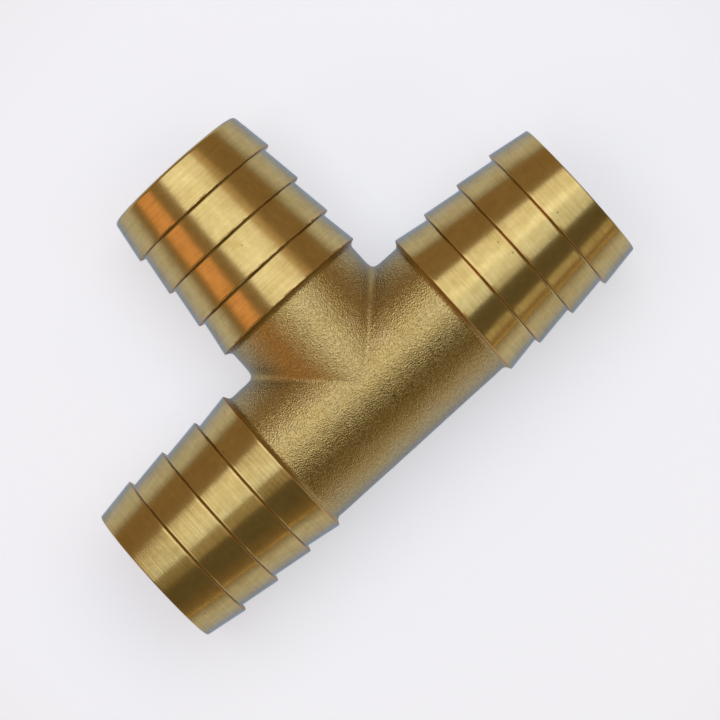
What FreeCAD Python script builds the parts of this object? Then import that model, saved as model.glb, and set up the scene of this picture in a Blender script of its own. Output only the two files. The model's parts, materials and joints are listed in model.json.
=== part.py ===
"""Hose barb tee for 25 mm hose.

One brass piece: a forged tee barrel with three turned hose tails and equal bores that
meet in the middle. The run lies along X, the branch points along +Y, and the origin is
the crossing of the two axes.
"""
import FreeCAD, Part
import os

import Sketcher

from FreeCAD import Vector

# Driving sizes in millimetres, each with what it measures
SIZES = [
    ("centre_to_end", 45.0, "crossing of the axes to each open end of the run"),
    ("branch_to_end", 45.0, "crossing of the axes to the open end of the branch"),
    ("neck_diameter", 25.1, "forged barrel, run and branch alike"),
    ("crest_diameter", 27.2, "sharp crest of every barb"),
    ("root_diameter", 25.3, "foot of the shoulder behind a crest"),
    ("tip_diameter", 25.0, "open end of a hose tail, as wide as the hose's own bore"),
    ("barb_count", 4, "barbs on each hose tail"),
    ("tip_barb", 6.95, "open end to the first crest"),
    ("barb_pitch", 6.9, "crest to crest, all but the last barb"),
    ("last_barb", 6.05, "from the crest before it to the last crest"),
    ("shoulder", 0.5, "length of the slope behind a crest"),
    ("run_back", 1.0, "length of the slope behind the last crest, on the run"),
    ("branch_back", 0.7, "length of the slope behind the last crest, on the branch"),
    ("foot_round", 0.4, "hollow where the last barb's slope meets the barrel"),
    ("run_bore", 20.6, "bore through the run"),
    ("branch_bore", 20.6, "bore down the branch to the run's axis"),
    ("mouth_chamfer", 0.4, "chamfer at the three bore mouths"),
    ("run_tip_chamfer", 0.15, "broken outer edge at the run's ends"),
    ("branch_tip_round", 0.6, "rounded outer edge at the branch's end"),
]

# Two lengths this close are the same, in millimetres
CLOSE = 1e-4


def make_sheet(doc):
    """Put the driving sizes in a sheet, one named row each."""
    sheet = doc.addObject("Spreadsheet::Sheet", "Sizes")
    for row, (name, value, meaning) in enumerate(SIZES, start=1):
        sheet.set(f"A{row}", name)
        sheet.set(f"B{row}", str(value))
        sheet.set(f"C{row}", meaning)
        sheet.setAlias(f"B{row}", name)
    doc.recompute()
    return sheet


def origin_plane(body, role):
    """The body's own origin plane with this role."""
    return next(plane for plane in body.Origin.OriginFeatures if plane.Role == role)


def sketch_on(body, role, name):
    """An empty sketch flat on one of the body's origin planes."""
    sketch = body.newObject("Sketcher::SketchObject", name)
    sketch.AttachmentSupport = [(origin_plane(body, role), "")]
    sketch.MapMode = "FlatFace"
    return sketch


def bind(sketch, constraint, name, expression):
    """Add a constraint with a name, and tie its value to the sheet."""
    index = sketch.addConstraint(constraint)
    sketch.renameConstraint(index, name)
    sketch.setExpression(f"Constraints.{name}", expression)


def circle_sketch(body, role, name, diameter):
    """A circle about the origin, as wide as the named size."""
    sketch = sketch_on(body, role, name)
    value = body.evalExpression(diameter)
    circle = sketch.addGeometry(Part.Circle(Vector(0, 0, 0), Vector(0, 0, 1), value / 2))
    sketch.addConstraint(Sketcher.Constraint("Coincident", circle, 3, -1, 1))
    bind(sketch, Sketcher.Constraint("Diameter", circle, value), "diameter", diameter)
    return sketch


def crest_places(reach, barb_count):
    """Where each crest lies along its axis, from the open end inwards."""
    place = f"{reach} - Sizes.tip_barb"
    places = [place]
    for barb in range(2, barb_count + 1):
        step = "Sizes.last_barb" if barb == barb_count else "Sizes.barb_pitch"
        place = f"{place} - {step}"
        places.append(place)
    return places


def tail_corners(reach, back, barb_count):
    """Corners of half a hose tail, along and across its axis, from the open end inwards.

    Every barb is a straight flank that widens to a sharp crest, then a short steep
    shoulder. The last one slopes back onto the barrel. None lies on the axis itself.
    """
    crest = "Sizes.crest_diameter / 2"
    corners = [(reach, None), (reach, "Sizes.tip_diameter / 2")]
    *crests, last = crest_places(reach, barb_count)
    for place in crests:
        corners.append((place, crest))
        corners.append((f"{place} - Sizes.shoulder", "Sizes.root_diameter / 2"))
    corners.append((last, crest))
    corners.append((f"{last} - {back}", "Sizes.neck_diameter / 2"))
    corners.append((f"{last} - {back}", None))
    return corners


def barrel_corners(foot, start, wide):
    """Corners of half a forged barrel, from its outer end to its start."""
    return [(foot, None), (foot, wide), (start, wide), (start, None)]


def half_section(body, role, name, corners, along_y):
    """Half a section, closed along its axis, with each corner tied to the sheet."""
    sketch = sketch_on(body, role, name)
    if along_y:
        along_kind, across_kind, own_axis, other_axis = "DistanceY", "DistanceX", -2, -1
    else:
        along_kind, across_kind, own_axis, other_axis = "DistanceX", "DistanceY", -1, -2
    measured = []
    for along, across in corners:
        far = body.evalExpression(along) if along else 0.0
        wide = body.evalExpression(across) if across else 0.0
        measured.append((far, wide))
    points = [Vector(wide, far, 0) if along_y else Vector(far, wide, 0) for far, wide in measured]
    for here, there in zip(points, points[1:] + points[:1]):
        sketch.addGeometry(Part.LineSegment(here, there))
    for side in range(len(points)):
        following = (side + 1) % len(points)
        sketch.addConstraint(Sketcher.Constraint("Coincident", side, 2, following, 1))
    for side, (along, across) in enumerate(corners):
        far, wide = measured[side]
        if along:
            held = Sketcher.Constraint(along_kind, -1, 1, side, 1, far)
            bind(sketch, held, f"along_{side}", along)
        else:
            sketch.addConstraint(Sketcher.Constraint("PointOnObject", side, 1, other_axis))
        if across:
            held = Sketcher.Constraint(across_kind, -1, 1, side, 1, wide)
            bind(sketch, held, f"across_{side}", across)
        else:
            sketch.addConstraint(Sketcher.Constraint("PointOnObject", side, 1, own_axis))
    return sketch


def add_pocket(body, name, sketch, length, midplane):
    """Drill a sketch out towards +X or +Y, or half each way."""
    pocket = body.newObject("PartDesign::Pocket", name)
    pocket.Profile = sketch
    pocket.setExpression("Length", length)
    if midplane:
        pocket.SideType = "Symmetric"
    return pocket


def add_turned(body, name, sketch, axis):
    """Turn a half section a full turn about its own axis."""
    turned = body.newObject("PartDesign::Revolution", name)
    turned.Profile = sketch
    turned.ReferenceAxis = (sketch, [axis])
    turned.Angle = 360.0
    return turned


def edges_where(feature, test):
    """Names of the feature's edges that pass a test, which have to be some."""
    names = []
    for number, edge in enumerate(feature.Shape.Edges, start=1):
        if test(edge):
            names.append(f"Edge{number}")
    if not names:
        raise RuntimeError(f"{feature.Label} has no such edge")
    return names


def ring_test(axis, places, diameter):
    """A test for round edges about an axis, at some places along it and of one width."""
    def is_ring(edge):
        curve = edge.Curve
        if curve.TypeId != "Part::GeomCircle":
            return False
        if abs(curve.Radius - diameter / 2) > CLOSE:
            return False
        return any((curve.Center - axis * place).Length < CLOSE for place in places)
    return is_ring


def add_dressing(body, kind, name, base, edges, size):
    """Round or chamfer some edges of the last feature by a named size."""
    dressing = body.newObject(f"PartDesign::{kind}", name)
    dressing.Base = (base, edges)
    dressing.setExpression("Radius" if kind == "Fillet" else "Size", size)
    body.Document.recompute()
    return dressing


def make_barrel(body, run_foot, branch_foot):
    """The forged tee: two equal barrels that meet in a crease on each face.

    The run's section lies on the far side from the branch, so that the seam of its round
    wall stays clear of the crease.
    """
    run_corners = barrel_corners(run_foot, f"-({run_foot})", "-Sizes.neck_diameter / 2")
    run_sketch = half_section(body, "XY_Plane", "run_barrel_section", run_corners, False)
    add_turned(body, "run_barrel", run_sketch, "H_Axis")
    branch_corners = barrel_corners(branch_foot, None, "Sizes.neck_diameter / 2")
    branch_sketch = half_section(body, "XY_Plane", "branch_barrel_section", branch_corners, True)
    add_turned(body, "branch_barrel", branch_sketch, "V_Axis")


def make_tails(body, run_corners, branch_corners):
    """The three hose tails, with the run's second one a mirror of its first."""
    run_sketch = half_section(body, "XY_Plane", "run_tail_section", run_corners, False)
    right = add_turned(body, "right_tail", run_sketch, "H_Axis")
    left = body.newObject("PartDesign::Mirrored", "left_tail")
    left.Originals = [right]
    left.MirrorPlane = (origin_plane(body, "YZ_Plane"), [""])
    body.Tip = left
    branch_sketch = half_section(body, "XY_Plane", "branch_tail_section", branch_corners, True)
    branch = add_turned(body, "branch_tail", branch_sketch, "V_Axis")
    body.Document.recompute()
    return branch


def make_bores(body):
    """Equal bores, drilled through the run and down the branch to the run's axis."""
    run_circle = circle_sketch(body, "YZ_Plane", "run_bore_circle", "Sizes.run_bore")
    add_pocket(body, "run_bore", run_circle, "2 * Sizes.centre_to_end", True)
    branch_circle = circle_sketch(body, "XZ_Plane", "branch_bore_circle", "Sizes.branch_bore")
    branch = add_pocket(body, "branch_bore", branch_circle, "Sizes.branch_to_end", False)
    body.Document.recompute()
    return branch


def finish_end(body, base, name, axis, places, kind, tip_size):
    """Chamfer the bore's mouth and ease the tip's outer edge, each within a third of the wall."""
    sheet = body.Document.Sizes
    wall = f"(Sizes.tip_diameter - Sizes.{name}_bore) / 2"
    mouth = edges_where(base, ring_test(axis, places, sheet.getPropertyByName(f"{name}_bore")))
    size = f"min(Sizes.mouth_chamfer; {wall} / 3)"
    opened = add_dressing(body, "Chamfer", f"{name}_mouth", base, mouth, size)
    tip = edges_where(opened, ring_test(axis, places, sheet.tip_diameter))
    size = f"min(Sizes.{tip_size}; {wall} / 3)"
    return add_dressing(body, kind, f"{name}_tip", opened, tip, size)


def make_tee(doc, sheet):
    """The whole tee, in the order in which the real one is made."""
    body = doc.addObject("PartDesign::Body", "hose_barb_tee")
    body.Label = "hose_barb_tee"
    body.Placement = FreeCAD.Placement(Vector(0, 0, 0), FreeCAD.Rotation())
    barb_count = int(sheet.barb_count)
    run_corners = tail_corners("Sizes.centre_to_end", "Sizes.run_back", barb_count)
    branch_corners = tail_corners("Sizes.branch_to_end", "Sizes.branch_back", barb_count)
    run_foot = run_corners[-1][0]
    branch_foot = branch_corners[-1][0]
    make_barrel(body, run_foot, branch_foot)
    turned = make_tails(body, run_corners, branch_corners)

    along_x = Vector(1, 0, 0)
    along_y = Vector(0, 1, 0)
    foot = body.evalExpression(run_foot)
    on_run_foot = ring_test(along_x, (-foot, foot), sheet.neck_diameter)
    on_branch_foot = ring_test(along_y, (body.evalExpression(branch_foot),), sheet.neck_diameter)
    feet = edges_where(turned, lambda edge: on_run_foot(edge) or on_branch_foot(edge))
    add_dressing(body, "Fillet", "feet", turned, feet, "Sizes.foot_round")

    bored = make_bores(body)
    run_ends = (-sheet.centre_to_end, sheet.centre_to_end)
    broken = finish_end(body, bored, "run", along_x, run_ends, "Chamfer", "run_tip_chamfer")
    branch_end = (sheet.branch_to_end,)
    finish_end(body, broken, "branch", along_y, branch_end, "Fillet", "branch_tip_round")
    return body


def check(doc, body):
    """Stop if anything failed to build or the tee isn't one sound solid."""
    for item in doc.Objects:
        if "Invalid" in item.State or "Error" in item.State:
            raise RuntimeError(f"{item.Label} didn't build: {item.State}")
    shape = body.Shape
    if shape.isNull() or not shape.isValid() or len(shape.Solids) != 1:
        raise RuntimeError(f"{body.Label} isn't one sound solid")


def main():
    doc = FreeCAD.newDocument("hose_barb_tee")
    sheet = make_sheet(doc)
    tee = make_tee(doc, sheet)
    doc.recompute()
    check(doc, tee)
    os.makedirs("parts", exist_ok=True)
    tee.Shape.exportStep(f"parts/{tee.Label}.step")
    box = tee.Shape.optimalBoundingBox()
    print(f"{tee.Label}: {tee.Shape.Volume:.1f} mm3, {box.XLength:.2f} x {box.YLength:.2f}"
          f" x {box.ZLength:.2f} mm, {len(tee.Shape.Faces)} faces")


main()
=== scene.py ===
"""Looks of the hose barb tee: one forged and turned brass piece on a pale table."""
import json
import math

import bmesh
import bpy
from mathutils import Matrix, Vector, noise


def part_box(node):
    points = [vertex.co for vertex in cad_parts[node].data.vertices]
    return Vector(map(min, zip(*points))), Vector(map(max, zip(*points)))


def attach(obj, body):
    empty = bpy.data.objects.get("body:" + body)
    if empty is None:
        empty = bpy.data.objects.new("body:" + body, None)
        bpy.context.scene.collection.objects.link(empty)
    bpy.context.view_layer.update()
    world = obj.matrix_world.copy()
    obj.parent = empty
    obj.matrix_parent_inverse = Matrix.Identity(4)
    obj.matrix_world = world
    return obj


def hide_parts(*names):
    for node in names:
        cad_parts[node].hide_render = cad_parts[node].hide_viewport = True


bl_info = {
    "name": "Hose barb tee",
    "version": (1, 0, 0),
    "blender": (4, 5, 0),
    "location": "View3D > Sidebar > Tee",
    "description": "Models and finishes a brass hose barb tee around its packed frame",
    "category": "Object",
}

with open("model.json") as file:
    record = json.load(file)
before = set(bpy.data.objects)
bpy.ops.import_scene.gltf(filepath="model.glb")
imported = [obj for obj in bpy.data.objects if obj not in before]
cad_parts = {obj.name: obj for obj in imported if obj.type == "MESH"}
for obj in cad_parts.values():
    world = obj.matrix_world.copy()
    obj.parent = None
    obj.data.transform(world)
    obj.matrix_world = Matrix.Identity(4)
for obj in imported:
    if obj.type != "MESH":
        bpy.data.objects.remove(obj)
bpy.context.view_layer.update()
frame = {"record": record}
NODE = "hose_barb_tee"
MM = 0.001
LOW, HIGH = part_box(NODE)


def mount_radius(name):
    """The bore radius that the record gives a mount, in millimetres."""
    mounts = frame["record"]["mounts"]
    return next(m["dims"]["r_mm"] for m in mounts if m["name"] == name)


class TeeSizes(bpy.types.PropertyGroup):
    """Sizes of the tee in millimetres, the outer ones read from the frame."""

    run_reach: bpy.props.FloatProperty(
        name="Run reach", description="Crossing of the axes to the run's ends", default=HIGH.x / MM)
    branch_reach: bpy.props.FloatProperty(
        name="Branch reach", description="Crossing of the axes to the branch's end",
        default=HIGH.y / MM)
    crest_radius: bpy.props.FloatProperty(
        name="Crest radius", description="Radius at a barb's crest", default=-LOW.y / MM)
    bore_radius: bpy.props.FloatProperty(
        name="Bore radius", description="Radius of the bores", default=mount_radius("run_bore"))
    neck_radius: bpy.props.FloatProperty(
        name="Barrel radius", description="Radius of the forged barrel", default=12.55)
    root_radius: bpy.props.FloatProperty(
        name="Root radius", description="Radius behind a barb's shoulder", default=12.65)
    tip_radius: bpy.props.FloatProperty(
        name="Tip radius", description="Radius at the open end", default=12.5)
    barbs: bpy.props.IntProperty(
        name="Barbs", description="Barbs on each hose tail", default=4, min=2)
    tip_barb: bpy.props.FloatProperty(
        name="Tip barb", description="Open end to the first crest", default=6.95)
    pitch: bpy.props.FloatProperty(
        name="Barb pitch", description="Crest to crest", default=6.9)
    last_barb: bpy.props.FloatProperty(
        name="Last barb", description="Length of the barb next to the barrel", default=6.05)
    shoulder: bpy.props.FloatProperty(
        name="Shoulder", description="Length of the slope behind a crest", default=0.24)
    run_back: bpy.props.FloatProperty(
        name="Run back", description="Slope behind the run's last crest", default=0.55)
    branch_back: bpy.props.FloatProperty(
        name="Branch back", description="Slope behind the branch's last crest", default=0.4)
    foot_round: bpy.props.FloatProperty(
        name="Foot round", description="Hollow where a tail meets the barrel", default=0.9)
    root_round: bpy.props.FloatProperty(
        name="Root round", description="Hollow that the tool leaves in front of a shoulder",
        default=0.3)
    crotch_round: bpy.props.FloatProperty(
        name="Crotch round", description="Hollow where the barrels meet", default=1.0)
    mouth_chamfer: bpy.props.FloatProperty(
        name="Mouth chamfer", description="Chamfer at the bore mouths", default=0.4)
    run_tip_round: bpy.props.FloatProperty(
        name="Run tip edge", description="Eased outer edge at the run's ends", default=0.15)
    branch_tip_round: bpy.props.FloatProperty(
        name="Branch tip edge", description="Rounded outer edge at the branch's end", default=0.6)
    crest_land: bpy.props.FloatProperty(
        name="Crest land", description="Width of the worn edge on a crest", default=0.07)


class TeeLooks(bpy.types.PropertyGroup):
    """Colours of the brass and of the table."""

    brass: bpy.props.FloatVectorProperty(
        name="Brass", description="Fresh turned brass", subtype="COLOR", size=3,
        default=(0.52, 0.41, 0.18))
    brass_deep: bpy.props.FloatVectorProperty(
        name="Handled brass", description="Brass where it has started to tarnish",
        subtype="COLOR", size=3, default=(0.42, 0.315, 0.115))
    skin: bpy.props.FloatVectorProperty(
        name="Blasted skin", description="Shot-blasted forging skin", subtype="COLOR", size=3,
        default=(0.43, 0.335, 0.15))
    skin_deep: bpy.props.FloatVectorProperty(
        name="Blasted hollows", description="Hollows of the forging skin", subtype="COLOR",
        size=3, default=(0.24, 0.17, 0.07))
    # Partly painted shade: dark pits that also stand for the grain's shade in a band along the run's
    # front
    skin_pit_and_shade: bpy.props.FloatVectorProperty(
        name="Skin pits", description="Deep pits in the blasted skin", subtype="COLOR",
        size=3, default=(0.12, 0.08, 0.03))
    fleck: bpy.props.FloatVectorProperty(
        name="Blasted flecks", description="Bright points of the forging skin",
        subtype="COLOR", size=3, default=(0.70, 0.56, 0.29))
    # Painted light: the crests' orange warms and lightens the dark lines that shade draws at the
    # crests
    crest: bpy.props.FloatVectorProperty(
        name="Crests", description="Edges of the crests, rubbed bright", subtype="COLOR",
        size=3, default=(0.62, 0.36, 0.12))
    # Painted light: the shoulders' colour is a lighter orange so that the shade on the slopes behind
    # the crests shows less dark
    shoulder: bpy.props.FloatVectorProperty(
        name="Shoulders", description="Slopes behind the crests", subtype="COLOR", size=3,
        default=(0.62, 0.41, 0.15))
    pit: bpy.props.FloatVectorProperty(
        name="Pits", description="Small pits in the turned brass", subtype="COLOR", size=3,
        default=(0.16, 0.10, 0.035))
    table: bpy.props.FloatVectorProperty(
        name="Table", description="Pale table top", subtype="COLOR", size=3,
        default=(0.68, 0.71, 0.78))
    table_glow: bpy.props.FloatVectorProperty(
        name="Table glow", description="What the table adds to look pale", subtype="COLOR",
        size=3, default=(0.43, 0.46, 0.52))
    # Painted light: the table's colour further off, dimmer as a painted falloff of light
    table_painted_dim: bpy.props.FloatVectorProperty(
        name="Table further off", description="The table where less light reaches it",
        subtype="COLOR", size=3, default=(0.46, 0.475, 0.52))
    room_low: bpy.props.FloatVectorProperty(
        name="Room, low", description="The dim room near the table's level", subtype="COLOR",
        size=3, default=(0.38, 0.25, 0.13))
    room_high: bpy.props.FloatVectorProperty(
        name="Room, high", description="The dim room overhead", subtype="COLOR", size=3,
        default=(0.18, 0.14, 0.08))


# The finishes' numbers, in the order in which tee_finishes lists them
TURNED_RUN, TURNED_BRANCH, BLASTED, FACED, BORED, CREST, SHOULDER = range(7)

# Lengthwise strips round every barrel and tail, a multiple of four so that the legs meet
STRIPS = 256
# Rings along a barrel, in millimetres apart, fine enough for the forging's unevenness
RING = 0.6
# Two points this close are one, in millimetres
CLOSE = 0.002
# Steps of the round corners: at a tail's foot, at a root, and at the run's and branch's tips
FOOT_STEPS = 6
ROOT_STEPS = 5
RUN_TIP_STEPS = 2
BRANCH_TIP_STEPS = 6
# Lines longer than this get rings this far from their ends, in millimetres
LONG = 1.0
HOLD = 0.1
# Loops beside each crease, and how far they reach in shares of the crotch round
LOOPS = 16
LOOP_REACH = 2.3
# The balls that hollow the creases, in shares of the crotch round, and the reach of each
BALLS = (0.5, 0.9, 1.4, 2.0)
BALL_REACH = 1.3
# How far the forging rises and falls, and where that fades out before a tail, in millimetres
FORGING_DEPTH = 0.035
FORGING_CLEAR = 0.8
FORGING_FADE = 1.5
# How uneven the crests' edges are, in millimetres
RUN_WEAR = 0.03
BRANCH_WEAR = 0.06
# Edges that turn by more than this many degrees stay sharp
SHARP = 32


def arc_corner(before, corner, after, radius, steps):
    """Points of a round corner between two straight lines of a section."""
    to_before = (before - corner).normalized()
    to_after = (after - corner).normalized()
    half = to_before.angle(to_after) / 2
    run = radius / math.tan(half)
    centre = corner + (to_before + to_after).normalized() * radius / math.sin(half)
    start = corner + to_before * run - centre
    turn = (corner + to_after * run - centre).angle_signed(start)
    return [centre + Matrix.Rotation(turn * i / steps, 2) @ start for i in range(steps + 1)]


def leg_section(sizes, reach, back, tip_round, tip_steps):
    """Half a leg's section, along and across its axis, from the crossing out and back in."""
    neck, crest, root = sizes.neck_radius, sizes.crest_radius, sizes.root_radius
    crests = [reach - sizes.tip_barb - i * sizes.pitch for i in range(sizes.barbs - 1)]
    crests.append(crests[-1] - sizes.last_barb)
    land = sizes.crest_land
    foot = Vector((crests[-1] - back, neck))
    hollow = arc_corner(Vector((0, neck)), foot, Vector((crests[-1], crest)), sizes.foot_round,
                        FOOT_STEPS)
    rings = math.ceil(hollow[0].x / RING)
    points = [Vector((hollow[0].x * i / rings, neck)) for i in range(rings)]
    points += hollow
    for i, place in enumerate(reversed(crests)):
        points.append(Vector((place, crest - land / 2)))
        points.append(Vector((place + land / 2, crest)))
        points.append(Vector((place + land * 1.5, crest - land / 6)))
        if i < len(crests) - 1:
            ahead = crests[-2 - i]
            points += arc_corner(points[-1], Vector((ahead - sizes.shoulder, root)),
                                 Vector((ahead, crest - land / 2)), sizes.root_round,
                                 ROOT_STEPS)
    end = Vector((reach, sizes.tip_radius))
    inner = Vector((reach, sizes.bore_radius + sizes.mouth_chamfer))
    points += arc_corner(points[-1], end, inner, tip_round, tip_steps)
    points.append(inner)
    points.append(Vector((reach - sizes.mouth_chamfer, sizes.bore_radius)))
    points.append(Vector((sizes.bore_radius * 1.3, sizes.bore_radius)))
    points.append(Vector((0, sizes.bore_radius)))
    return hold_straight(points), crests, foot.x


def hold_straight(points):
    """Add points near the ends of a long straight line, so that it shades straight."""
    held = points[:1]
    for start, end in zip(points, points[1:]):
        if (end - start).length > LONG:
            step = (end - start).normalized() * HOLD
            held += [start + step, start + step * 3, end - step]
        held.append(end)
    return held


def zone_of(face, sizes, reach, crests, foot, turned):
    """The finish of a leg's face, from where it lies along and round its axis."""
    middle = face.calc_center_median()
    across = math.hypot(middle.y, middle.z)
    if middle.x > reach - CLOSE:
        return FACED
    if across < sizes.bore_radius + sizes.mouth_chamfer - CLOSE:
        return BORED
    if middle.x < foot:
        return BLASTED
    if middle.x < crests[-1] - CLOSE:
        return SHOULDER
    for place in crests:
        if -CLOSE < middle.x - place < sizes.crest_land * 1.5 + CLOSE:
            return CREST
        if place - sizes.shoulder * 0.7 < middle.x < place:
            return SHOULDER
    return turned


def make_leg(sizes, reach, back, tip_round, tip_steps, turned):
    """One leg along +X, outside and bore, spun from its half section."""
    points, crests, foot = leg_section(sizes, reach, back, tip_round, tip_steps)
    leg = bmesh.new()
    corners = [leg.verts.new((p.x, p.y, 0)) for p in points]
    edges = [leg.edges.new(pair) for pair in zip(corners, corners[1:])]
    bmesh.ops.spin(
        leg, geom=corners + edges, cent=(0, 0, 0), axis=(1, 0, 0), dvec=(0, 0, 0),
        angle=math.tau, steps=STRIPS, use_merge=True, use_duplicate=False)
    for face in leg.faces:
        face.material_index = zone_of(face, sizes, reach, crests, foot, turned)
    return leg, crests, foot


def cut_away(leg, normal):
    """Drop what lies beyond a plane through the crossing of the axes."""
    bmesh.ops.bisect_plane(
        leg, geom=leg.verts[:] + leg.edges[:] + leg.faces[:], dist=CLOSE / 4,
        plane_co=(0, 0, 0), plane_no=Vector(normal).normalized(), clear_outer=True)


def add_crotch_loops(tee, sizes):
    """Cut fine loops beside both creases, for the round hollow between the barrels."""
    for side in (-1, 1):
        for i in range(1, LOOPS + 1):
            offset = sizes.crotch_round * LOOP_REACH * i / LOOPS
            for sign in (-1, 1):
                right = [f for f in tee.faces if min(v.co.x * side for v in f.verts) > -CLOSE
                         and f.material_index == BLASTED]
                parts = set(right)
                for f in right:
                    parts.update(f.verts)
                    parts.update(f.edges)
                bmesh.ops.bisect_plane(
                    tee, geom=list(parts), dist=CLOSE / 4, plane_co=(side * sign * offset, 0, 0),
                    plane_no=Vector((side, -1, 0)).normalized())


def ball_centre(point, radius):
    """Centre of the ball that rolls along both barrels, nearest to a point of the right side."""
    low, high = 0.0, math.pi / 2
    for _ in range(24):
        third = (high - low) / 3
        a, b = low + third, high - third
        gap_a = (point - centre_at(a, radius)).length
        gap_b = (point - centre_at(b, radius)).length
        if gap_a < gap_b:
            high = b
        else:
            low = a
    return centre_at((low + high) / 2, radius)


def centre_at(turn, radius):
    """A point of the ball's path, at a turn from the level of the axes up to the top."""
    return Vector((radius * math.cos(turn), radius * math.cos(turn), radius * math.sin(turn)))


def onto_ball(point, sizes, ball):
    """Where a point of the right side's crease lies once a ball of one size has hollowed it."""
    path = sizes.neck_radius + ball
    if abs(point.x - point.y) > ball * BALL_REACH or max(point.x, point.y) > path + ball * 0.3:
        return point
    centre = ball_centre(point, path)
    from_run = Vector((0, centre.y, centre.z)).normalized()
    from_branch = Vector((centre.x, 0, centre.z)).normalized()
    half = from_run.angle(from_branch, 0.0) / 2
    arm = point - centre
    inwards = -(from_run + from_branch).normalized()
    if half < 0.01 or arm.length < 1e-6 or arm.angle(inwards) > half:
        return point
    return centre + arm.normalized() * ball


def round_crotch(tee, sizes):
    """Fill the creases with the mean of several rolling balls, so that no edge shows."""
    outside = sizes.neck_radius - CLOSE * 5
    balls = [sizes.crotch_round * share for share in BALLS]
    for vert in tee.verts:
        point = vert.co
        flipped = Vector((abs(point.x), point.y, abs(point.z)))
        if flipped.y < 0 or abs(flipped.x - flipped.y) > balls[-1] * BALL_REACH:
            continue
        if min(math.hypot(flipped.y, flipped.z), math.hypot(flipped.x, flipped.z)) < outside:
            continue
        moved = sum((onto_ball(flipped, sizes, ball) for ball in balls), Vector()) / len(balls)
        vert.co = Vector((math.copysign(moved.x, point.x), moved.y, math.copysign(moved.z, point.z)))


def roughen_forging(tee, sizes, foot):
    """Give the forged barrels the slight unevenness of a die forging."""
    tee.normal_update()
    moves = []
    for vert in tee.verts:
        if not all(face.material_index == BLASTED for face in vert.link_faces):
            continue
        reach = max(abs(vert.co.x), vert.co.y)
        fade = min(1.0, max(0.0, (foot - FORGING_CLEAR - reach) / FORGING_FADE))
        wide = noise.noise(vert.co * 0.28)
        fine = noise.noise(vert.co * 0.9 + Vector((7, 3, 5)))
        height = FORGING_DEPTH * fade * (wide + 0.5 * fine - 0.4)
        moves.append((vert, vert.normal * height))
    for vert, move in moves:
        vert.co += move


def wear_crests(leg, crests, sizes, wear):
    """Make each crest's edge a little uneven, as turning leaves it."""
    for vert in leg.verts:
        across = Vector((0, vert.co.y, vert.co.z))
        if across.length < sizes.crest_radius - sizes.crest_land:
            continue
        place = next((c for c in crests if -CLOSE < vert.co.x - c < sizes.crest_land * 2), None)
        if place is None:
            continue
        around = across.normalized() * 9 + Vector((place, 0, 0))
        dent = noise.noise(around) * 0.6 + noise.noise(around * 3.1) * 0.4
        shift = noise.noise(around * 1.7 + Vector((4, 9, 2)))
        vert.co -= across.normalized() * (0.02 + wear * (0.5 + dent))
        vert.co.x += wear * 1.5 * shift


class TEE_OT_fitting(bpy.types.Operator):
    """Model the tee's body: three barbed legs that meet in a forged crotch"""

    bl_idname = "tee.fitting"
    bl_label = "Tee fitting"

    def execute(self, context):
        sizes = context.scene.tee_sizes
        run = (sizes.run_reach, sizes.run_back, sizes.run_tip_round, RUN_TIP_STEPS, TURNED_RUN)
        right, crests, foot = make_leg(sizes, *run)
        wear_crests(right, crests, sizes, RUN_WEAR)
        cut_away(right, (-1, 1, 0))
        left = right.copy()
        bmesh.ops.scale(left, verts=left.verts[:], vec=(-1, 1, 1))
        bmesh.ops.reverse_faces(left, faces=left.faces[:])
        stem = (sizes.branch_reach, sizes.branch_back, sizes.branch_tip_round,
                BRANCH_TIP_STEPS, TURNED_BRANCH)
        branch, crests, _ = make_leg(sizes, *stem)
        wear_crests(branch, crests, sizes, BRANCH_WEAR)
        turn = Matrix.Rotation(math.pi / 2, 3, "Z")
        bmesh.ops.rotate(branch, verts=branch.verts[:], cent=(0, 0, 0), matrix=turn)
        cut_away(branch, (1, -1, 0))
        cut_away(branch, (-1, -1, 0))

        tee = bmesh.new()
        mesh = bpy.data.meshes.new("tee_body")
        for leg in (right, left, branch):
            leg.to_mesh(mesh)
            tee.from_mesh(mesh)
            leg.free()
        bmesh.ops.remove_doubles(tee, verts=tee.verts[:], dist=CLOSE)
        add_crotch_loops(tee, sizes)
        round_crotch(tee, sizes)
        roughen_forging(tee, sizes, foot)
        bmesh.ops.scale(tee, verts=tee.verts[:], vec=(MM, MM, MM))
        bmesh.ops.recalc_face_normals(tee, faces=tee.faces[:])
        tee.to_mesh(mesh)
        tee.free()
        mesh.shade_smooth()
        mesh.set_sharp_from_angle(angle=math.radians(SHARP))
        piece = bpy.data.objects.new("tee_body", mesh)
        context.scene.collection.objects.link(piece)
        for material in tee_finishes(context.scene.tee_looks):
            mesh.materials.append(material)
        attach(piece, "root")
        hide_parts(NODE)
        return {"FINISHED"}


def new_group(name, inputs, outputs):
    """An empty node group with named float or vector sockets."""
    group = bpy.data.node_groups.new(name, "ShaderNodeTree")
    for socket, kind, value in inputs:
        made = group.interface.new_socket(name=socket, in_out="INPUT", socket_type=kind)
        if value is not None:
            made.default_value = value
    for socket, kind in outputs:
        group.interface.new_socket(name=socket, in_out="OUTPUT", socket_type=kind)
    start = group.nodes.new("NodeGroupInput")
    end = group.nodes.new("NodeGroupOutput")
    return group, start, end


def add_math(tree, operation, first, second=None, third=None, clamp=False):
    """A math node fed by sockets or numbers, and its result."""
    node = tree.nodes.new("ShaderNodeMath")
    node.operation = operation
    node.use_clamp = clamp
    for socket, value in zip(node.inputs, (first, second, third)):
        if value is None:
            continue
        if isinstance(value, (int, float)):
            socket.default_value = value
        else:
            tree.links.new(value, socket)
    return node.outputs[0]


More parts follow.
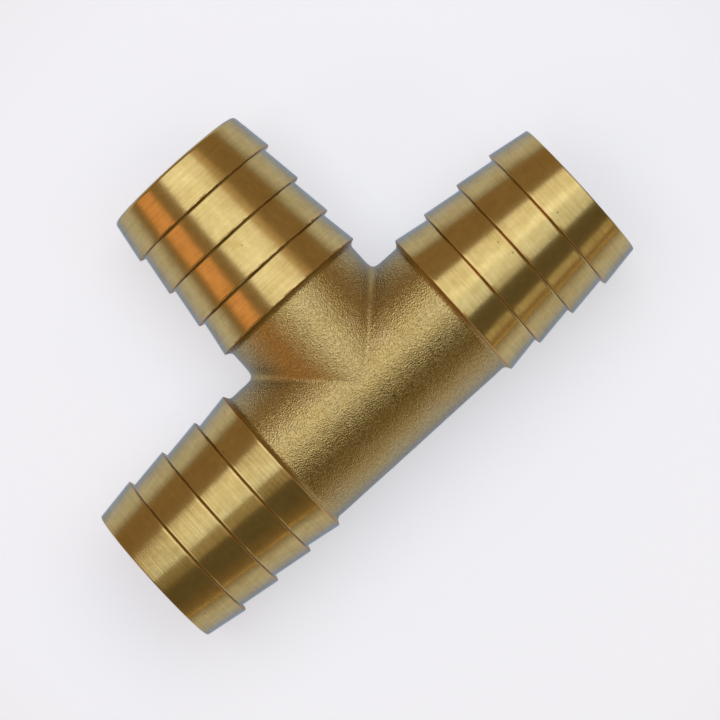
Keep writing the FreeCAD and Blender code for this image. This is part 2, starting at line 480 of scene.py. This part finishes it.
def add_noise(tree, vector, scale, detail=2.0, rough=0.5, dimensions="3D"):
    """A noise texture's value."""
    node = tree.nodes.new("ShaderNodeTexNoise")
    node.noise_dimensions = dimensions
    node.inputs["Scale"].default_value = scale
    node.inputs["Detail"].default_value = detail
    node.inputs["Roughness"].default_value = rough
    tree.links.new(vector, node.inputs["W" if dimensions == "1D" else "Vector"])
    return node.outputs[0]


def add_range(tree, value, low, high, to_low=0.0, to_high=1.0):
    """A value mapped from one range to another, held inside it."""
    node = tree.nodes.new("ShaderNodeMapRange")
    tree.links.new(value, node.inputs["Value"])
    for name, number in (("From Min", low), ("From Max", high), ("To Min", to_low),
                         ("To Max", to_high)):
        node.inputs[name].default_value = number
    return node.outputs[0]


def add_mix(tree, mask, first, second):
    """A colour between two others, each a socket or a colour."""
    node = tree.nodes.new("ShaderNodeMix")
    node.data_type = "RGBA"
    tree.links.new(mask, node.inputs["Factor"])
    for name, value in (("A", first), ("B", second)):
        socket = next(s for s in node.inputs if s.name == name and s.type == "RGBA")
        if isinstance(value, bpy.types.NodeSocket):
            tree.links.new(value, socket)
        else:
            socket.default_value = (*value, 1.0)
    return next(s for s in node.outputs if s.type == "RGBA")


def add_mix_value(tree, mask, first, second):
    """A number between two others."""
    node = tree.nodes.new("ShaderNodeMix")
    node.data_type = "FLOAT"
    for socket, value in zip(node.inputs[:1] + [node.inputs[2], node.inputs[3]],
                             (mask, first, second)):
        tree.links.new(value, socket)
    return node.outputs[0]


def turning_marks():
    """Fine rings that a lathe tool leaves: a height and a mask, along one axis."""
    group, start, end = new_group(
        "turning marks",
        [("Along", "NodeSocketFloat", 0.0), ("Place", "NodeSocketVector", None)],
        [("Height", "NodeSocketFloat"), ("Mask", "NodeSocketFloat")])
    along, place = start.outputs["Along"], start.outputs["Place"]
    fine = add_noise(group, along, 9000.0, 1.0, 0.5, "1D")
    coarse = add_noise(group, along, 1700.0, 2.0, 0.6, "1D")
    patch = add_range(group, add_noise(group, place, 160.0, 2.0), 0.35, 0.7)
    both = add_math(group, "MULTIPLY_ADD", coarse, 0.6, add_math(group, "MULTIPLY", fine, 0.4))
    height = add_math(group, "MULTIPLY", both, add_math(group, "MULTIPLY_ADD", patch, 0.7, 0.3))
    group.links.new(height, end.inputs["Height"])
    group.links.new(both, end.inputs["Mask"])
    return group


def handling():
    """What use leaves: soft patches of tarnish, a finer mottle and small dark pits."""
    group, start, end = new_group(
        "handling", [("Place", "NodeSocketVector", None)],
        [("Tarnish", "NodeSocketFloat"), ("Mottle", "NodeSocketFloat"),
         ("Pits", "NodeSocketFloat")])
    place = start.outputs["Place"]
    tarnish = add_range(group, add_noise(group, place, 220.0, 4.0, 0.6), 0.38, 0.72)
    cells = group.nodes.new("ShaderNodeTexVoronoi")
    cells.inputs["Scale"].default_value = 420.0
    group.links.new(place, cells.inputs["Vector"])
    spot = add_range(group, cells.outputs["Distance"], 0.03, 0.09, 0.8, 0.0)
    rare = add_range(group, cells.outputs["Color"], 0.70, 0.72)
    mottle = add_range(group, add_noise(group, place, 900.0, 3.0, 0.6), 0.40, 0.66)
    group.links.new(tarnish, end.inputs["Tarnish"])
    group.links.new(mottle, end.inputs["Mottle"])
    group.links.new(add_math(group, "MULTIPLY", spot, rare), end.inputs["Pits"])
    return group


def blasted_grain():
    """The grain of a shot-blasted forging: its height, hollows, flecks, blotches and pits."""
    group, start, end = new_group(
        "blasted grain", [("Place", "NodeSocketVector", None)],
        [("Height", "NodeSocketFloat"), ("Hollows", "NodeSocketFloat"),
         ("Flecks", "NodeSocketFloat"), ("Blotches", "NodeSocketFloat"),
         ("Pits", "NodeSocketFloat")])
    place = start.outputs["Place"]
    shots = group.nodes.new("ShaderNodeTexVoronoi")
    shots.inputs["Scale"].default_value = 4300.0
    group.links.new(place, shots.inputs["Vector"])
    lumps = add_noise(group, place, 1500.0, 2.0, 0.6)
    height = add_math(group, "MULTIPLY_ADD", lumps, 0.4, shots.outputs["Distance"])
    fine = add_noise(group, place, 6500.0, 1.0, 0.5)
    height = add_math(group, "MULTIPLY_ADD", fine, 0.6, height)
    hollows = add_range(group, shots.outputs["Color"], 0.45, 0.95)
    flecks = add_range(group, add_noise(group, place, 4300.0, 1.0, 0.5), 0.60, 0.72)
    blotches = add_range(group, add_noise(group, place, 190.0, 3.0, 0.6), 0.35, 0.7)
    pits = add_range(group, add_noise(group, place, 2500.0, 2.0, 0.7), 0.56, 0.66)
    for name, socket in (("Height", height), ("Hollows", hollows), ("Flecks", flecks),
                         ("Blotches", blotches), ("Pits", pits)):
        group.links.new(socket, end.inputs[name])
    return group


# What the brass gives back at a grazing angle, bluer and dimmer than white
GRAZING_TINT = (0.42, 0.56, 0.84, 1.0)


class Finish:
    """A metal material with its shader, its object coordinates and its bump."""

    def __init__(self, name, roughness):
        self.material = bpy.data.materials.new(name)
        self.material.use_nodes = True
        self.tree = self.material.node_tree
        self.shader = self.tree.nodes["Principled BSDF"]
        self.shader.inputs["Metallic"].default_value = 1.0
        self.shader.inputs["Roughness"].default_value = roughness
        self.shader.inputs["Specular Tint"].default_value = GRAZING_TINT
        texture = self.tree.nodes.new("ShaderNodeTexCoord")
        self.place = texture.outputs["Object"]

    def group(self, group, **links):
        """Place a node group and link its inputs."""
        node = self.tree.nodes.new("ShaderNodeGroup")
        node.node_tree = group
        for name, socket in links.items():
            self.tree.links.new(socket, node.inputs[name])
        return node.outputs

    def split(self):
        """The object coordinates, one by one."""
        node = self.tree.nodes.new("ShaderNodeSeparateXYZ")
        self.tree.links.new(self.place, node.inputs[0])
        return node.outputs

    def feed(self, name, socket):
        """Link a socket to one of the shader's inputs."""
        self.tree.links.new(socket, self.shader.inputs[name])

    def bump(self, height, distance):
        """Raise the surface by a height from 0 to 1 over a distance in metres."""
        node = self.tree.nodes.new("ShaderNodeBump")
        node.inputs["Distance"].default_value = distance
        self.tree.links.new(height, node.inputs["Height"])
        self.feed("Normal", node.outputs[0])


def turned_finish(name, axis, looks, groups, rough):
    """Turned brass with rings about one of the axes."""
    finish = Finish(name, rough)
    marks = finish.group(groups["turning"], Along=finish.split()[axis], Place=finish.place)
    worn = finish.group(groups["handling"], Place=finish.place)
    rings = add_range(finish.tree, marks["Mask"], 0.38, 0.66, 0.0, 0.35)
    tone = add_math(finish.tree, "MULTIPLY_ADD", worn["Tarnish"], 0.6, rings)
    tone = add_math(finish.tree, "MULTIPLY_ADD", worn["Mottle"], 0.35, tone)
    colour = add_mix(finish.tree, tone, looks.brass, looks.brass_deep)
    colour = add_mix(finish.tree, worn["Pits"], colour, looks.pit)
    finish.feed("Base Color", colour)
    wide = add_math(finish.tree, "MULTIPLY_ADD", marks["Mask"], 0.16, rough - 0.08)
    wide = add_math(finish.tree, "MULTIPLY_ADD", worn["Tarnish"], 0.05, wide)
    finish.feed("Roughness", wide)
    finish.bump(marks["Height"], 0.000012)
    return finish.material


def blasted_finish(looks, groups):
    """Shot-blasted forging skin, duller in the creases between the barrels."""
    finish = Finish("blasted brass", 0.32)
    tree = finish.tree
    grain = finish.group(groups["grain"], Place=finish.place)
    colour = add_mix(tree, grain["Blotches"], looks.skin, looks.brass_deep)
    shade = add_math(tree, "MULTIPLY", grain["Hollows"], 0.5)
    colour = add_mix(tree, shade, colour, looks.skin_deep)
    bright = add_math(tree, "MULTIPLY", grain["Flecks"], 0.55)
    colour = add_mix(tree, bright, colour, looks.fleck)
    x, y, z = finish.split()
    # Pits and painted shade: dark pits in a patch on top along the run's front, deeper towards the
    # right, partly real pits and partly painted shade of the grain where the run's barrel turns from
    # lit to dark
    patch = add_math(tree, "MULTIPLY", add_range(tree, y, -0.0085, -0.0055),
                     add_range(tree, y, -0.0025, 0.0, 1.0, 0.0))
    patch = add_math(tree, "MULTIPLY", patch, add_range(tree, z, 0.0, 0.004))
    patch = add_math(tree, "MULTIPLY", patch, add_range(tree, x, -0.014, 0.002, 0.35, 0.8))
    finish.feed("Base Color", add_mix(tree, add_math(tree, "MULTIPLY", grain["Pits"], patch),
                                      colour, looks.skin_pit_and_shade))
    # The creases are rougher near their ends at the level of the axes
    off_crease = add_math(tree, "ABSOLUTE", add_math(
        tree, "SUBTRACT", add_math(tree, "ABSOLUTE", x), y))
    crease = add_math(
        tree, "MULTIPLY", add_range(tree, off_crease, 0.0002, 0.0018, 0.08, 0.0),
        add_range(tree, add_math(tree, "ABSOLUTE", z), 0.0070, 0.0110, 1.0, 0.0))
    rough = add_math(tree, "MULTIPLY_ADD", grain["Hollows"], 0.08, 0.22)
    finish.feed("Roughness", add_math(tree, "ADD", rough, crease))
    finish.bump(grain["Height"], 0.000055)
    return finish.material


def faced_finish(looks, groups):
    """The open ends, faced square: rings about whichever axis the end stands on."""
    finish = Finish("faced ends", 0.24)
    x, y, z = finish.split()
    tree = finish.tree
    on_branch = add_math(tree, "GREATER_THAN", y, 0.03)
    off_axis = add_mix_value(tree, on_branch, y, x)
    radial = add_math(tree, "SQRT", add_math(
        tree, "ADD", add_math(tree, "POWER", off_axis, 2.0), add_math(tree, "POWER", z, 2.0)))
    marks = finish.group(groups["turning"], Along=radial, Place=finish.place)
    worn = finish.group(groups["handling"], Place=finish.place)
    finish.feed("Base Color", add_mix(tree, worn["Tarnish"], looks.brass, looks.brass_deep))
    finish.feed("Roughness", add_math(tree, "MULTIPLY_ADD", marks["Mask"], 0.2, 0.16))
    finish.bump(marks["Height"], 0.000015)
    return finish.material


def bored_finish(looks, groups):
    """The drilled bores, with coarser rings."""
    finish = Finish("drilled bore", 0.32)
    x, y, _ = finish.split()
    on_branch = add_math(finish.tree, "GREATER_THAN", y, 0.011)
    along = add_mix_value(finish.tree, on_branch, x, y)
    marks = finish.group(groups["turning"], Along=along, Place=finish.place)
    worn = finish.group(groups["handling"], Place=finish.place)
    colour = add_mix(finish.tree, worn["Tarnish"], looks.brass, looks.brass_deep)
    finish.feed("Base Color", colour)
    finish.feed("Roughness", add_math(finish.tree, "MULTIPLY_ADD", marks["Mask"], 0.2, 0.24))
    finish.bump(marks["Height"], 0.00003)
    return finish.material


def crest_painted_light_finish(looks, groups):
    """The crests' edges, in an orange painted to warm and lighten the dark lines at the crests,
    turning in patches to plain brass that is rougher.
    """
    finish = Finish("crest edges with painted light", 0.3)
    worn = finish.group(groups["handling"], Place=finish.place)
    # Painted light: the orange of the crests lifts their dark lines; tarnish patches turn it to
    # plain brass
    finish.feed("Base Color", add_mix(
        finish.tree, worn["Tarnish"], looks.crest, looks.brass))
    finish.feed("Roughness", add_math(
        finish.tree, "MULTIPLY_ADD", worn["Tarnish"], 0.2, 0.25))
    return finish.material


def shoulder_painted_light_finish(looks, groups):
    """The slopes behind the crests, rougher from the tool's corner, in an orange painted lighter so
    that the shade on these narrow slopes shows less, with patches of tarnish.
    """
    finish = Finish("shoulders_painted_lighter", 0.48)
    worn = finish.group(groups["handling"], Place=finish.place)
    # Painted light: the lighter orange lifts the shade of the slopes, and tarnish darkens it in
    # patches
    finish.feed("Base Color", add_mix(
        finish.tree, worn["Tarnish"], looks.shoulder, looks.brass_deep))
    finish.feed("Roughness", add_math(
        finish.tree, "MULTIPLY_ADD", worn["Tarnish"], 0.1, 0.42))
    return finish.material


def tee_finishes(looks):
    """The materials in the order of the faces' finish numbers."""
    groups = {"turning": turning_marks(), "handling": handling(), "grain": blasted_grain()}
    return [
        turned_finish("turned brass of the run", 0, looks, groups, 0.17),
        turned_finish("turned brass of the branch", 1, looks, groups, 0.19),
        blasted_finish(looks, groups),
        faced_finish(looks, groups),
        bored_finish(looks, groups),
        crest_painted_light_finish(looks, groups),
        shoulder_painted_light_finish(looks, groups),
    ]


# The camera's place over the tee in millimetres, its tilts in degrees and its lens
CAMERA_SHIFT = Vector((1.138, -3.583, -746.8))
CAMERA_TILT = (-0.341, -1.119, 42.209)
CAMERA_LENS = 238.2


def add_camera(scene):
    """The photographer's camera, nearly straight above the tee."""
    x, y, z = (math.radians(a) for a in CAMERA_TILT)
    turn = (Matrix.Rotation(x, 3, "X") @ Matrix.Rotation(y, 3, "Y") @ Matrix.Rotation(z, 3, "Z"))
    camera = bpy.data.objects.new("camera", bpy.data.cameras.new("camera"))
    camera.data.lens = CAMERA_LENS
    camera.data.sensor_width = 36.0
    camera.data.clip_start = 0.05
    back = turn.transposed()
    camera.matrix_world = Matrix.Translation(-(back @ CAMERA_SHIFT) * MM) @ back.to_4x4()
    scene.collection.objects.link(camera)
    scene.camera = camera


DOWN = (0, 0, -1)
SKY = (0.98, 1.05, 1.12)
# The lamps: name, place in metres, facing, size in metres, colour and level
LAMPS = (
    ("window left", (-0.28, 0.42, 1.2), DOWN, (0.56, 1.16), SKY, 1.3),
    ("window middle", (0.20, 0.32, 1.2), DOWN, (0.40, 1.36), SKY, 1.25),
    ("window right", (0.61, 0.20, 1.2), DOWN, (0.42, 1.60), SKY, 1.1),
    ("window glow", (0.50, 0.18, 1.19), DOWN, (0.40, 0.26), SKY, 0.45),
    ("wall right", (1.05, 0.40, 1.2), DOWN, (0.46, 0.90), (1.0, 0.75, 0.5), 0.4),
    ("ceiling", (-0.10, -0.40, 1.2), DOWN, (0.90, 0.40), (1.0, 0.82, 0.55), 0.45),
    ("warm wall", (-0.9, 0.28, 0.52), (1, 0, 0), (0.52, 0.60), (1.0, 0.42, 0.20), 0.85),
    ("window core", (0.10, 0.47, 1.19), DOWN, (0.14, 0.30), SKY, 0.3),
    ("bright sill", (0.0, -1.1, 0.09), (0, 1, 0), (1.6, 0.03), (1.0, 0.75, 0.35), 1.0),
    ("pale wall", (0.36, -1.09, 0.42), (0, 1, 0), (0.6, 0.3), (1.0, 0.9, 0.65), 0.45),
)


def add_card(scene, name, place, facing, size, colour, level):
    """A flat lamp of one brightness: at level 1 and white, a mirror shows it as white."""
    lamp = bpy.data.lights.new(name, "AREA")
    lamp.shape = "RECTANGLE"
    lamp.size, lamp.size_y = size
    lamp.energy = level * math.pi * size[0] * size[1]
    lamp.color = colour
    holder = bpy.data.objects.new(name, lamp)
    turn = Vector(facing).to_track_quat("-Z", "Y").to_matrix().to_4x4()
    holder.matrix_world = Matrix.Translation(place) @ turn
    scene.collection.objects.link(holder)


# Half the table's width, and where the table's painted dimming starts and ends, in metres from the
# middle
TABLE_HALF = 1.5
DIM_FROM = 0.07
DIM_TO = 0.24
# How much of the table's own glow the painted dimming leaves further off
GLOW_AWAY = 0.5


def pale_table(looks):
    """A pale table top that keeps the tee's shadow and looks as pale in the brass, with a painted
    falloff of light that dims its colour and glow away from the middle.
    """
    paint = bpy.data.materials.new("pale table")
    paint.use_nodes = True
    tree = paint.node_tree
    shader = tree.nodes["Principled BSDF"]
    shader.inputs["Roughness"].default_value = 0.8
    shader.inputs["Specular IOR Level"].default_value = 0.2
    texture = tree.nodes.new("ShaderNodeTexCoord")
    reach = tree.nodes.new("ShaderNodeVectorMath")
    reach.operation = "LENGTH"
    tree.links.new(texture.outputs["Object"], reach.inputs[0])
    # Painted falloff of light: the table's colour and glow dim away from the middle
    away = add_range(tree, reach.outputs["Value"], DIM_FROM, DIM_TO)
    for name, near in (("Base Color", looks.table), ("Emission Color", looks.table_glow)):
        tree.links.new(add_mix(tree, away, near, looks.table_painted_dim), shader.inputs[name])
    path = tree.nodes.new("ShaderNodeLightPath")
    seen = add_math(tree, "ADD", path.outputs["Is Camera Ray"], path.outputs["Is Glossy Ray"])
    seen = add_math(tree, "ADD", seen, path.outputs["Is Transmission Ray"], clamp=True)
    seen = add_math(tree, "MULTIPLY", seen, add_range(tree, away, 0.0, 1.0, 1.0, GLOW_AWAY))
    tree.links.new(seen, shader.inputs["Emission Strength"])
    return paint


def dim_room(looks):
    """A dim warm room, lighter towards the level of the table."""
    world = bpy.data.worlds.new("room")
    world.use_nodes = True
    tree = world.node_tree
    texture = tree.nodes.new("ShaderNodeTexCoord")
    split = tree.nodes.new("ShaderNodeSeparateXYZ")
    tree.links.new(texture.outputs["Object"], split.inputs[0])
    front = add_math(tree, "MULTIPLY_ADD", split.outputs[1], -0.6, split.outputs[2])
    colour = add_mix(tree, add_range(tree, front, 0.65, 1.0), looks.room_low, looks.room_high)
    tree.links.new(colour, tree.nodes["Background"].inputs["Color"])
    return world


class TEE_OT_stage(bpy.types.Operator):
    """Set the pale table, the soft lamps, the room and the camera"""

    bl_idname = "tee.stage"
    bl_label = "Stage"

    def execute(self, context):
        scene = context.scene
        scene.view_settings.view_transform = "Standard"
        table = bmesh.new()
        bmesh.ops.create_grid(table, x_segments=1, y_segments=1, size=TABLE_HALF)
        bmesh.ops.translate(table, verts=table.verts[:], vec=(0, 0, LOW.z))
        mesh = bpy.data.meshes.new("table")
        table.to_mesh(mesh)
        table.free()
        top = bpy.data.objects.new("table", mesh)
        scene.collection.objects.link(top)
        looks = scene.tee_looks
        mesh.materials.append(pale_table(looks))
        scene.world = dim_room(looks)
        for lamp in LAMPS:
            add_card(scene, *lamp)
        add_camera(scene)
        return {"FINISHED"}


class TEE_PT_panel(bpy.types.Panel):
    """Lists the steps that make the tee"""

    bl_label = "Hose barb tee"
    bl_idname = "TEE_PT_panel"
    bl_space_type = "VIEW_3D"
    bl_region_type = "UI"
    bl_category = "Tee"

    def draw(self, context):
        for step in STEPS:
            self.layout.operator(step)


STEPS = ("tee.fitting", "tee.stage")
CLASSES = (TeeSizes, TeeLooks, TEE_OT_fitting, TEE_OT_stage, TEE_PT_panel)


def register():
    for kind in CLASSES:
        bpy.utils.register_class(kind)
    bpy.types.Scene.tee_sizes = bpy.props.PointerProperty(type=TeeSizes)
    bpy.types.Scene.tee_looks = bpy.props.PointerProperty(type=TeeLooks)


def unregister():
    del bpy.types.Scene.tee_looks
    del bpy.types.Scene.tee_sizes
    for kind in reversed(CLASSES):
        bpy.utils.unregister_class(kind)


def main():
    register()
    bpy.ops.tee.fitting()
    bpy.ops.tee.stage()


if __name__ == "__main__":
    main()
